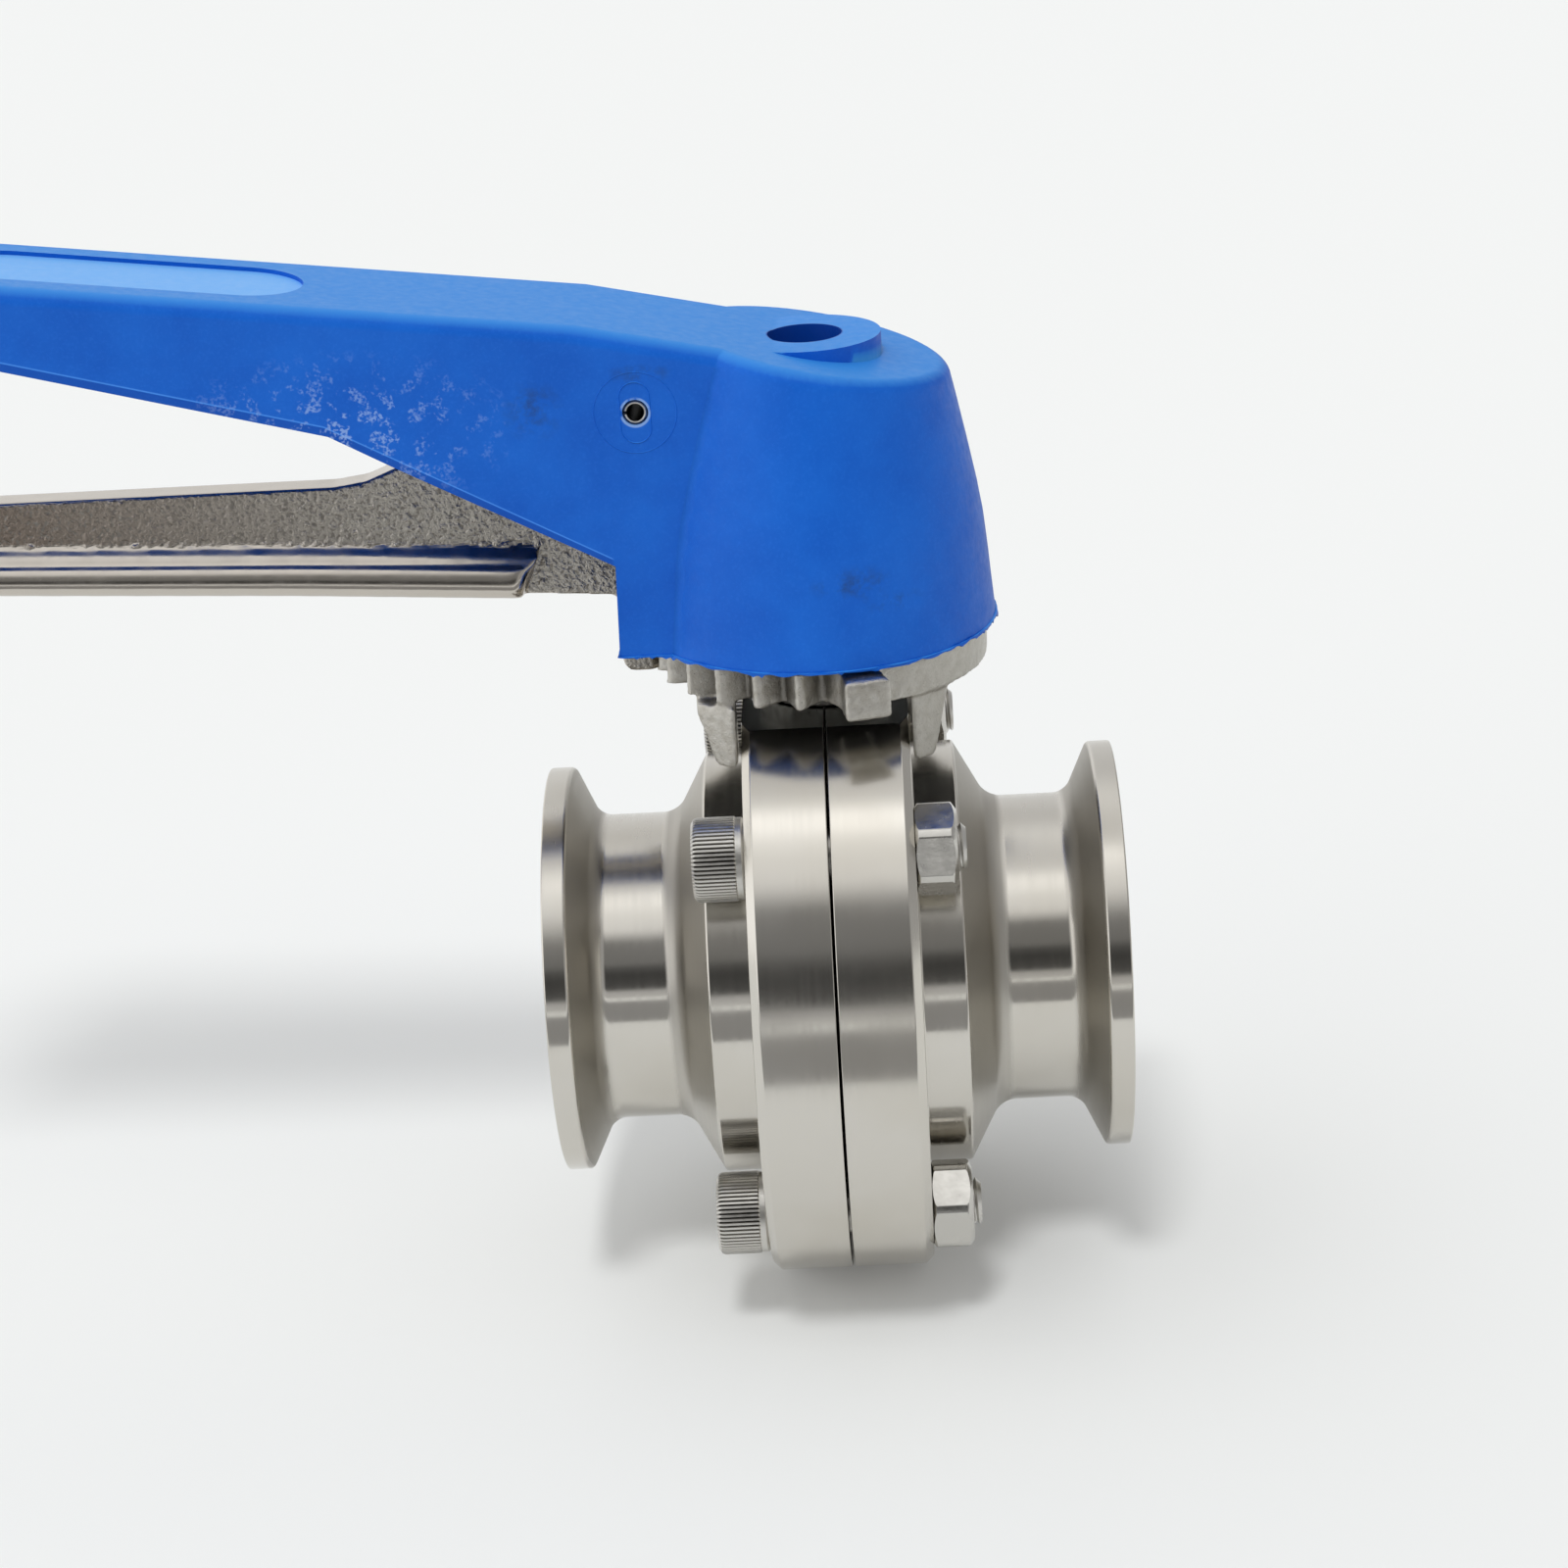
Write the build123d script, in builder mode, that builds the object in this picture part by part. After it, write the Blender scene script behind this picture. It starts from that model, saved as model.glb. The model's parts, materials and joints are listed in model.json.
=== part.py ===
# Sanitary butterfly valve, 1.5 inch clamp ends, with a squeeze-to-turn handle.
# Origin: where the pipe axis crosses the stem axis. +X along the pipe, +Z up the stem.
from build123d import *
import math
import os

os.makedirs("parts", exist_ok=True)

# pipe ends
face_x = 35.0
bore_r = 17.4
neck_r = 19.05
rim_r = 25.25
rim_back_x = 32.15
gasket_r = 21.75

# body flange pair
split_x = 0.15
flange_r = 38.86
flange_x = 9.94
step_r = 26.3
step_x = 15.3
body_top_z = 36.0

# bolts
bolt_circle_r = 33.0
bolt_r = 3.0
bolt_hole_r = 3.3
head_r = 5.0
head_h = 6.2
nut_af = 10.0
nut_h = 5.0
nut_turns = (20, 48.6, 11, 35)

# seat, disc and stem
seat_x = 8.0
seat_r = 20.0
pad_z = 16.2
disc_r = 17.3
stem_r = 5.0
stem_af = 8.0
stem_top_z = 66.8
bush_r = 7.0

# notch plate
plate_z0 = 40.0
plate_z1 = 44.6
plate_r = 20.0
lug_r = 23.5
notch_pitch = 15.0
notch_root_r = 17.2
leg_in_x = 10.4
leg_out_x = 15.1

# handle
rim_z = 45.0
beam_w = 24.0
wall = 2.8
top_kink = (-26.0, 84.9)
hub_slope = -0.22
beam_slope = -0.1264
handle_end_x = -140.0
boss_top_z = 80.0
screw_hole_r = 4.4
insert_top_z = 68.45
insert_af = 13.0
pivot_x = -19.75
pivot_z = 74.7
pin_r = 1.5

# trigger lever
web_t = 4.4
bead_w = 11.0
lever_end_x = -135.0
spring_x = -38.0


def beam_top(x):
    return top_kink[1] + beam_slope * (x - top_kink[0])


def hub_top(x):
    return top_kink[1] + hub_slope * (x - top_kink[0])


def save(piece, name):
    piece.part.label = name
    export_step(piece.part, f"parts/{name}.step")


# ---- body halves ----
for name, side in (("body_half_inlet", -1), ("body_half_outlet", 1)):
    with BuildPart() as body_half:
        with BuildSketch(Plane.XZ) as profile:
            with BuildLine():
                Polyline(
                    (split_x, seat_r + 0.05),
                    (split_x, flange_r),
                    (flange_x - 1, flange_r),
                    (flange_x, flange_r - 1),
                    (flange_x, step_r),
                    (step_x, step_r),
                    (19.3, neck_r),
                    (29.2, neck_r),
                    (rim_back_x, rim_r),
                    (face_x, rim_r),
                    (face_x, bore_r),
                    (seat_x + 0.05, bore_r),
                    (seat_x + 0.05, seat_r + 0.05),
                    close=True,
                )
            make_face()
            fillet(profile.vertices().filter_by_position(Axis.X, 19, 19.5), 2.8)
            fillet(profile.vertices().filter_by_position(Axis.X, 29, 29.5), 2.4)
            fillet(profile.vertices().filter_by_position(Axis.X, 32, 32.5), 0.4)
            with Locations((face_x + 0.2, gasket_r)):
                Circle(1.4, mode=Mode.SUBTRACT)
        revolve(axis=Axis.X)
        with Locations((0, 0, body_top_z)):
            Box(40, 80, 10, align=(Align.CENTER, Align.CENTER, Align.MIN), mode=Mode.SUBTRACT)
        with BuildSketch(Plane.XY.offset(10)):
            Circle(bush_r + 0.05)
        extrude(amount=35, mode=Mode.SUBTRACT)
        with BuildSketch(Plane.XY.offset(-10)):
            Circle(bush_r + 0.05)
        extrude(amount=-24.2, mode=Mode.SUBTRACT)
        with BuildSketch(Plane.YZ):
            with PolarLocations(bolt_circle_r, 4, start_angle=45):
                Circle(bolt_hole_r)
        extrude(amount=flange_x + 1, mode=Mode.SUBTRACT)
        if side < 0:
            mirror(about=Plane.YZ, mode=Mode.REPLACE)
    save(body_half, name)

# ---- seat ring, clamped between the halves ----
with BuildPart() as seat_ring:
    with BuildSketch(Plane.YZ):
        Circle(seat_r)
        Circle(bore_r, mode=Mode.SUBTRACT)
    extrude(amount=seat_x, both=True)
    for z_dir in (1, -1):
        with BuildSketch(Plane.XY.offset(z_dir * pad_z)):
            Circle(7.8)
        extrude(amount=z_dir * (seat_r - 2 - pad_z))
    with BuildSketch(Plane.XY.offset(-30)):
        Circle(stem_r + 0.05)
    extrude(amount=60, mode=Mode.SUBTRACT)
save(seat_ring, "seat_ring")

# ---- disc and stem in one piece ----
with BuildPart() as disc_stem:
    with BuildSketch(Plane.XY):
        with BuildLine():
            Polyline(
                (-disc_r, -1.4), (-6, -3.2), (6, -3.2), (disc_r, -1.4),
                (disc_r, 1.4), (6, 3.2), (-6, 3.2), (-disc_r, 1.4), close=True,
            )
        make_face()
        Circle(5.9)
    extrude(amount=pad_z - 0.2, both=True)
    Sphere(disc_r, mode=Mode.INTERSECT)
    with BuildSketch(Plane.XY.offset(-33)):
        Circle(stem_r)
    extrude(amount=33 + 46)
    with BuildSketch(Plane.XY.offset(46)):
        Circle(stem_r)
        Rectangle(stem_af, stem_af, mode=Mode.INTERSECT)
    extrude(amount=stem_top_z - 46)
    with BuildSketch(Plane.XY.offset(stem_top_z)):
        Circle(2.5)
    extrude(amount=-16, mode=Mode.SUBTRACT)
save(disc_stem, "disc_stem")

# ---- stem seals and bushings ----
for name, z_mid in (("stem_seal_upper", 21.5), ("stem_seal_lower", -21.5)):
    with BuildPart() as stem_seal:
        with BuildSketch(Plane.XZ):
            with Locations((6.02, z_mid)):
                Circle(0.95)
        revolve(axis=Axis.Z)
    save(stem_seal, name)

with BuildPart() as bushing_upper:
    with BuildSketch(Plane.XY.offset(22.8)):
        Circle(bush_r)
        Circle(stem_r + 0.05, mode=Mode.SUBTRACT)
    extrude(amount=21.6)
save(bushing_upper, "bushing_upper")

with BuildPart() as bushing_lower:
    with BuildSketch(Plane.XY.offset(-22.8)):
        Circle(bush_r)
        Circle(stem_r + 0.05, mode=Mode.SUBTRACT)
    extrude(amount=-11)
save(bushing_lower, "bushing_lower")

# ---- notch plate, straddling the flanges on four legs ----
with BuildPart() as notch_plate:
    with BuildSketch(Plane.XY.offset(plate_z0)):
        Circle(plate_r)
    extrude(amount=plate_z1 - plate_z0)
    with BuildSketch(Plane.XY.offset(body_top_z)):
        Circle(9.9)
    extrude(amount=plate_z0 - body_top_z)
    for x_dir in (-1, 1):
        with BuildSketch(Plane.XZ) as leg_side:
            with BuildLine():
                Polyline(
                    (x_dir * leg_in_x, plate_z0 + 1),
                    (x_dir * leg_out_x, plate_z0 + 1),
                    (x_dir * 12.9, 31.8),
                    (x_dir * leg_in_x, 31.8),
                    close=True,
                )
            make_face()
            fillet(leg_side.vertices().group_by(Axis.Y)[0], 0.8)
        extrude(amount=17.3, both=True)
    with BuildSketch(Plane.XY.offset(30)):
        Rectangle(40, 22)
    extrude(amount=plate_z0 - 30 - 0.001, mode=Mode.SUBTRACT)
    with BuildSketch(Plane.XY.offset(30)):
        Circle(40)
        Circle(19.6, mode=Mode.SUBTRACT)
    extrude(amount=plate_z0 - 30, mode=Mode.SUBTRACT)
    with BuildSketch(Plane.XY.offset(plate_z0)):
        Circle(40)
        Circle(plate_r, mode=Mode.SUBTRACT)
    extrude(amount=2, mode=Mode.SUBTRACT)
    with BuildSketch(Plane.XY.offset(39)):
        for start in (161, 277):
            with BuildLine():
                a0 = math.radians(start)
                a1 = math.radians(start + 12)
                Polyline(
                    (15 * math.cos(a0), 15 * math.sin(a0)),
                    (lug_r * math.cos(a0), lug_r * math.sin(a0)),
                    (lug_r * math.cos(a1), lug_r * math.sin(a1)),
                    (15 * math.cos(a1), 15 * math.sin(a1)),
                    close=True,
                )
            make_face()
    extrude(amount=44.3 - 39)
    with BuildSketch(Plane.XY.offset(body_top_z)):
        Circle(9.9)
    extrude(amount=plate_z0 - body_top_z + 1)
    for k in range(7):
        notch_plane = Plane.XY.offset(39.4).rotated((0, 0, 180 + notch_pitch * k))
        with BuildSketch(notch_plane):
            with BuildLine():
                Polyline(
                    (notch_root_r, 0.25), (notch_root_r + 3.4, 2.72),
                    (notch_root_r + 3.4, -2.72), (notch_root_r, -0.25), close=True,
                )
            make_face()
        extrude(amount=8, mode=Mode.SUBTRACT)
    with BuildSketch(Plane.XY.offset(body_top_z - 1)):
        Circle(bush_r + 0.05)
    extrude(amount=12, mode=Mode.SUBTRACT)
save(notch_plate, "notch_plate")

# ---- handle: hub and beam, hollow from below ----
with BuildPart() as handle:
    with BuildSketch(Plane.XZ):
        with BuildLine():
            Polyline(
                (0, rim_z), (21.2, rim_z), (20.6, 52.3), (20.15, 57.3), (19.6, 60.9),
                (18.45, 67), (17.45, 71.9), (14.9, 84), (0, 84), close=True,
            )
        make_face()
    revolve(axis=Axis.Z)
    with BuildSketch(Plane.XZ):
        with BuildLine():
            Polyline(
                (handle_end_x, beam_top(handle_end_x)), top_kink, (0, hub_top(0)),
                (0, rim_z), (-23.7, rim_z), (-23.4, 56.3), (-47.5, 69.3), (-55.4, 73.75),
                (-92.2, 83.5), (-104, 86.65), (handle_end_x, 91.2), close=True,
            )
        make_face()
    extrude(amount=beam_w / 2, both=True)
    with BuildSketch(Plane.XZ):
        with BuildLine():
            Polyline(
                top_kink, (30, hub_top(30)), (30, 100), (-26, 100), close=True,
            )
        make_face()
    extrude(amount=30, both=True, mode=Mode.SUBTRACT)
    fillet(handle.edges().filter_by(Axis.Z).filter_by_position(Axis.X, -141, -139), 9)
    top_faces = handle.faces().filter_by(lambda f: f.normal_at().Z > 0.9)
    fillet(top_faces.edges().filter_by(lambda e: abs(e.tangent_at(0.5).Y) < 0.98 or e.center().X > -20), 2)
    with BuildSketch(Plane.XY.offset(60)):
        Circle(9)
    extrude(amount=boss_top_z - 60)
    # hub cavity
    with BuildSketch(Plane.XZ):
        with BuildLine():
            Polyline(
                (0, 44), (21.2 - wall, 44), (20.6 - wall, 52.3), (20.15 - wall, 57.3),
                (19.2 - wall, 63), (0, 63), close=True,
            )
        make_face()
    revolve(axis=Axis.Z, mode=Mode.SUBTRACT)
    # channel under the beam
    with BuildSketch(Plane.XZ):
        with BuildLine():
            Polyline(
                (-136, beam_top(-136) - 3), (-26, beam_top(-26) - 3), (-10.5, hub_top(-10.5) - 3),
                (-10.5, 30), (-136, 30), close=True,
            )
        make_face()
    extrude(amount=beam_w / 2 - wall, both=True, mode=Mode.SUBTRACT)
    # socket boss and its ribs
    with BuildSketch(Plane.XY.offset(47)):
        Circle(9.2)
        with Locations((9.5, 0)):
            Rectangle(18.2, 2.4)
        Rectangle(2.4, 37.2)
    extrude(amount=17)
    with BuildSketch(Plane.XY.offset(46)):
        RegularPolygon(radius=insert_af / 2 + 0.05, side_count=6, major_radius=False)
    extrude(amount=insert_top_z + 0.05 - 46, mode=Mode.SUBTRACT)
    with BuildSketch(Plane.XY.offset(60)):
        Circle(screw_hole_r)
    extrude(amount=30, mode=Mode.SUBTRACT)
    # pivot pin holes
    with BuildSketch(Plane.XZ):
        with Locations((pivot_x, pivot_z)):
            Circle(pin_r + 0.02)
    extrude(amount=20, both=True, mode=Mode.SUBTRACT)
    # spring spigot
    with BuildSketch(Plane.XY.offset(80)):
        with Locations((spring_x, 0)):
            Circle(1.9)
    extrude(amount=4.5)
    # blank label recess
    label_x = -79.15
    top_plane = Plane(
        origin=(label_x, 0, beam_top(label_x)),
        x_dir=(1, 0, beam_slope),
        z_dir=(-beam_slope, 0, 1),
    )
    with BuildSketch(top_plane):
        SlotOverall(42, 14)
    extrude(amount=-0.5, mode=Mode.SUBTRACT)
save(handle, "handle")

# ---- metal drive insert inside the hub ----
with BuildPart() as drive_insert:
    with BuildSketch(Plane.XY.offset(47.5)):
        RegularPolygon(radius=insert_af / 2, side_count=6, major_radius=False)
    extrude(amount=insert_top_z - 47.5)
    with BuildSketch(Plane.XY.offset(47.5)):
        Circle(stem_r + 0.05)
        Rectangle(stem_af + 0.1, stem_af + 0.1, mode=Mode.INTERSECT)
    extrude(amount=stem_top_z + 0.15 - 47.5, mode=Mode.SUBTRACT)
    with BuildSketch(Plane.XY.offset(60)):
        Circle(2.65)
    extrude(amount=20, mode=Mode.SUBTRACT)
save(drive_insert, "drive_insert")

with BuildPart() as handle_washer:
    with BuildSketch(Plane.XY.offset(insert_top_z)):
        Circle(4.25)
        Circle(2.65, mode=Mode.SUBTRACT)
    extrude(amount=1)
save(handle_washer, "handle_washer")

with BuildPart() as handle_screw:
    with BuildSketch(Plane.XY.offset(insert_top_z + 1)):
        Circle(4.25)
    extrude(amount=5)
    chamfer(handle_screw.edges().sort_by(Axis.Z)[-1], 0.4)
    with BuildSketch(Plane.XY.offset(insert_top_z + 6)):
        RegularPolygon(radius=2, side_count=6, major_radius=False)
    extrude(amount=-2.5, mode=Mode.SUBTRACT)
    with BuildSketch(Plane.XY.offset(insert_top_z + 1)):
        Circle(2.48)
    extrude(amount=-15)
save(handle_screw, "handle_screw")

# ---- slotted spring pin the trigger turns on ----
with BuildPart() as pivot_pin:
    with BuildSketch(Plane.XZ):
        with Locations((pivot_x, pivot_z)):
            Circle(pin_r)
            Circle(0.9, mode=Mode.SUBTRACT)
        with Locations((pivot_x - 1.2, pivot_z)):
            Rectangle(1, 0.5, mode=Mode.SUBTRACT)
    extrude(amount=11.7, both=True)
save(pivot_pin, "pivot_pin")

# ---- trigger lever with its locking tooth ----
with BuildPart() as trigger_lever:
    with BuildSketch(Plane.XZ) as web:
        with BuildLine():
            Polyline(
                (-24.1, 39.8), (-20.6, 39.8), (-20.6, 45.6), (-17.8, 46.6), (-14.9, 52), (-14.5, 72),
                (-14.6, 74.7), (-16.2, 78.4), (-19.75, 79.8), (-23.3, 78.4), (-28, 72.5),
                (-34, 69.2), (-43, 69.2), (-49.1, 66.9), (-53.2, 65.3), (-57, 64.8), (-97, 64.95),
                (lever_end_x, 64.9), (lever_end_x, 56.9), (-98, 54.3), (-62.8, 52.2),
                (-35.4, 50.4), (-24.1, 49.6), close=True,
            )
        make_face()
        fillet(web.vertices().filter_by_position(Axis.X, -136, -134), 3.2)
        fillet(web.vertices().filter_by_position(Axis.X, -15, -14), 0.8)
        fillet(web.vertices().filter_by_position(Axis.X, -24, -14).filter_by_position(Axis.Y, 78, 80), 2)
        fillet(web.vertices().sort_by_distance((-24.1, 39.8))[0], 1.5)
        fillet(web.vertices().sort_by_distance((-24.1, 49.6))[0], 1)
    extrude(amount=web_t / 2, both=True)
    # wedge that drops into the notches
    with BuildSketch(Plane.XY.offset(39.8)):
        with BuildLine():
            Polyline(
                (-20.7, -2.2), (-17.95, -0.2), (-17.95, 0.2), (-20.7, 2.2), close=True,
            )
        make_face()
    extrude(amount=6.5)
    # finger bead
    with BuildSketch(Plane.XZ) as bead:
        with BuildLine():
            Polyline(
                (-33.2, 56.4), (-62.2, 58), (-97.3, 59.6), (lever_end_x + 0.5, 61.6),
                (lever_end_x + 0.5, 57), (-98, 54), (-62.8, 52.1), (-35.4, 50.3), close=True,
            )
        make_face()
    extrude(amount=bead_w / 2, both=True)
    bead_edges = trigger_lever.edges().filter_by_position(Axis.Y, -5.6, -5.4)
    fillet(bead_edges, 2)
    bead_edges = trigger_lever.edges().filter_by_position(Axis.Y, 5.4, 5.6)
    fillet(bead_edges, 2)
    # spring seat
    with BuildSketch(Plane.XY.offset(66)):
        with Locations((spring_x, 0)):
            Circle(4.2)
    extrude(amount=3.2)
    with BuildSketch(Plane.XY.offset(69.2)):
        with Locations((spring_x, 0)):
            Circle(1.9)
    extrude(amount=2.5)
    with BuildSketch(Plane.XZ):
        with Locations((pivot_x, pivot_z)):
            Circle(5)
    extrude(amount=4.2, both=True)
    with BuildSketch(Plane.XZ):
        with Locations((pivot_x, pivot_z)):
            Circle(pin_r + 0.05)
    extrude(amount=20, both=True, mode=Mode.SUBTRACT)
save(trigger_lever, "trigger_lever")

# ---- return spring ----
spring_z0 = 69.8
spring_len = beam_top(spring_x) - 4.2 - spring_z0
with BuildPart() as lever_spring:
    with BuildLine():
        coil = Helix(pitch=spring_len / 6, height=spring_len, radius=3, center=(spring_x, 0, spring_z0))
    with BuildSketch(Plane(origin=coil @ 0, z_dir=coil % 0)):
        Circle(0.5)
    sweep()
save(lever_spring, "lever_spring")

# ---- clamp screws and nuts ----
for k in range(4):
    a = math.radians(45 + 90 * k)
    bolt_y = bolt_circle_r * math.cos(a)
    bolt_z = bolt_circle_r * math.sin(a)
    with BuildPart() as body_screw:
        with BuildSketch(Plane.YZ.offset(-flange_x)):
            with Locations((bolt_y, bolt_z)):
                Circle(head_r)
        extrude(amount=-head_h)
        chamfer(body_screw.edges().sort_by(Axis.X)[0], 0.7)
        with BuildSketch(Plane.YZ.offset(-flange_x - head_h)):
            with Locations((bolt_y, bolt_z)):
                RegularPolygon(radius=2.5, side_count=6, major_radius=False)
        extrude(amount=3, mode=Mode.SUBTRACT)
        with BuildSketch(Plane.YZ.offset(-flange_x)):
            with Locations((bolt_y, bolt_z)):
                Circle(bolt_r)
        extrude(amount=2 * flange_x + nut_h + 1)
        chamfer(body_screw.edges().sort_by(Axis.X)[-1], 0.5)
    save(body_screw, f"body_screw_{k + 1}")
    with BuildPart() as hex_nut:
        with BuildSketch(Plane.YZ.offset(flange_x)):
            with Locations((bolt_y, bolt_z)):
                RegularPolygon(radius=nut_af / 2, side_count=6, major_radius=False, rotation=nut_turns[k])
        extrude(amount=nut_h)
        with BuildSketch(Plane.YZ.offset(flange_x)):
            with Locations((bolt_y, bolt_z)):
                Circle(nut_af / 2 + 0.45)
        extrude(amount=nut_h, mode=Mode.INTERSECT)
        with BuildSketch(Plane.YZ.offset(flange_x)):
            with Locations((bolt_y, bolt_z)):
                Circle(bolt_r + 0.02)
        extrude(amount=nut_h, mode=Mode.SUBTRACT)
    save(hex_nut, f"hex_nut_{k + 1}")
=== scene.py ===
import json
import math

import bmesh
import bpy
from mathutils import Matrix, Vector, noise


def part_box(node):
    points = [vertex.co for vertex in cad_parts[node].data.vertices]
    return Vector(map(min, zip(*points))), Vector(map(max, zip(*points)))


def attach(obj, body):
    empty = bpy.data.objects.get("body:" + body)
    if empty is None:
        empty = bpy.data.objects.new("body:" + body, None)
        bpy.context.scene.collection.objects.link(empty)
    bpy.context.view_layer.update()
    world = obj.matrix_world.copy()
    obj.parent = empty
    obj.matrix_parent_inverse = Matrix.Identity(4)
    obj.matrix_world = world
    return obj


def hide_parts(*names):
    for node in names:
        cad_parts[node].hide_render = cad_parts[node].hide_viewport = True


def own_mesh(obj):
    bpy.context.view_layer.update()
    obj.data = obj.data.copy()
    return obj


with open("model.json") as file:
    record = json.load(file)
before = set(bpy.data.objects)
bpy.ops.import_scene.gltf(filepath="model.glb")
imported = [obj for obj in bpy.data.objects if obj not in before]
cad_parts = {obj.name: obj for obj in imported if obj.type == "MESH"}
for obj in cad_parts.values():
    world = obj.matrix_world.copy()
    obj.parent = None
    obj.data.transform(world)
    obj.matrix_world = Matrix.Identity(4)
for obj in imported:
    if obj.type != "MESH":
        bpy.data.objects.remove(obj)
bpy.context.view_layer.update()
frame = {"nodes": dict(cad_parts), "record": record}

nodes = frame["nodes"]

# Lengths are in millimetres, and become metres where MM is used. X is the bore, Z the stem.
MM = 0.001
FLANGE_R = 38.86
FLANGE_FACE = 9.94
FLAT_TOP = 36
HUB_R = 21.16
BEAM_HALF_WIDTH = 12.0
PIN_X, PIN_Z = -19.75, 74.7
BOLT_CIRCLE = 33
BOLT_OFFSET = 23.335
FLOOR_Z = -FLANGE_R * MM
# Lines along the lower edge of the beam: a point and a slope.
BEAM_SLOPE = -0.1264
BEAM_EDGE = ((-47.5, 69.3, -0.551), (-55.4, 73.75, -0.2654), (-104, 86.65, BEAM_SLOPE))


# ---------------------------------------------------------------- finishes
class Wiring:
    """Short ways to add and join the nodes of one tree."""

    def __init__(self, tree, coords):
        self.tree = tree
        self.place = self.node("TexCoord")
        self.coords = self.place.outputs[coords]

    def node(self, kind, settings=None, **inputs):
        n = self.tree.nodes.new("ShaderNode" + kind)
        for key, value in (settings or {}).items():
            setattr(n, key, value)
        for key, value in inputs.items():
            numbered = key[0] == "i" and key[1:].isdigit()
            self.feed(n.inputs[int(key[1:]) if numbered else key.replace("_", " ")], value)
        return n

    def feed(self, socket, value):
        if isinstance(value, bpy.types.NodeSocket):
            self.tree.links.new(value, socket)
        elif value is not None:
            socket.default_value = value

    def math(self, operation, a, b=0.0, c=0.0):
        return self.node("Math", {"operation": operation}, i0=a, i1=b, i2=c).outputs[0]

    def times(self, result, *others):
        for value in others:
            result = self.math("MULTIPLY", result, value)
        return result

    def total(self, result, *others):
        for value in others:
            result = self.math("ADD", result, value)
        return result

    def spread(self, value, low, high, to_low=0.0, to_high=1.0):
        return self.node("MapRange", None, i0=value, i1=low, i2=high, i3=to_low,
                         i4=to_high).outputs[0]

    def blend(self, factor, a, b):
        n = self.node("Mix", {"data_type": "RGBA"})
        for index, value in ((0, factor), (6, a), (7, b)):
            self.feed(n.inputs[index], (*value, 1) if isinstance(value, tuple) else value)
        return n.outputs[2]

    def parts(self, vector=None):
        return self.node("SeparateXYZ", None, Vector=vector or self.coords).outputs

    def joined(self, x=0.0, y=0.0, z=0.0):
        return self.node("CombineXYZ", None, X=x, Y=y, Z=z).outputs[0]

    def vector_math(self, operation, a, b=None):
        return self.node("VectorMath", {"operation": operation}, i0=a, i1=b).outputs

    def length(self, vector):
        return self.vector_math("LENGTH", vector)["Value"]


class Finish(Wiring):
    """A Principled material with its patterns on Object coordinates."""

    def __init__(self, name, color, metallic, roughness, **sockets):
        self.mat = bpy.data.materials.new(name)
        self.mat.use_nodes = True
        super().__init__(self.mat.node_tree, "Object")
        self.facing = self.place.outputs["Normal"]
        self.shader = self.tree.nodes["Principled BSDF"]
        self.shader.inputs["Base Color"].default_value = (*color, 1)
        self.shader.inputs["Metallic"].default_value = metallic
        self.shader.inputs["Roughness"].default_value = roughness
        for socket, value in sockets.items():
            self.shader.inputs[socket.replace("_", " ")].default_value = value

    def into(self, socket, value):
        self.feed(self.shader.inputs[socket], value)

    def noise(self, scale, detail=3, roughness=0.5, vector=None):
        return self.node("TexNoise", Vector=vector or self.coords, Scale=scale, Detail=detail,
                         Roughness=roughness).outputs["Fac"]

    def uneven(self, scale, low, high):
        """A value that wanders between two others."""
        return self.spread(self.noise(scale, 3), 0.3, 0.7, low, high)

    def rise(self, length, low, high, most=1.0):
        """From 0 up to a value, between two lengths."""
        return self.spread(length, low * MM, high * MM, 0.0, most)

    def fall(self, length, low, high, most=1.0):
        """From a value down to 0, between two lengths."""
        return self.spread(length, low * MM, high * MM, most, 0.0)

    def distance(self, position, place):
        return self.math("SUBTRACT", position, place * MM)

    def from_pin(self, x, z):
        return self.length(self.joined(self.distance(x, PIN_X), 0.0, self.distance(z, PIN_Z)))

    def patch(self, centre, size):
        """1 in the middle of an oval patch, falling to 0 at its edge."""
        moved = self.vector_math("SUBTRACT", self.coords, tuple(v * MM for v in centre))[0]
        scaled = self.vector_math("DIVIDE", moved, tuple(v * MM for v in size))[0]
        return self.spread(self.length(scaled), 0.2, 1.0, 1.0, 0.0)

    def bump(self, height, depth, strength=1.0, after=None):
        return self.node("Bump", None, Height=height, Strength=strength, Distance=depth,
                         Normal=after).outputs["Normal"]


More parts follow.
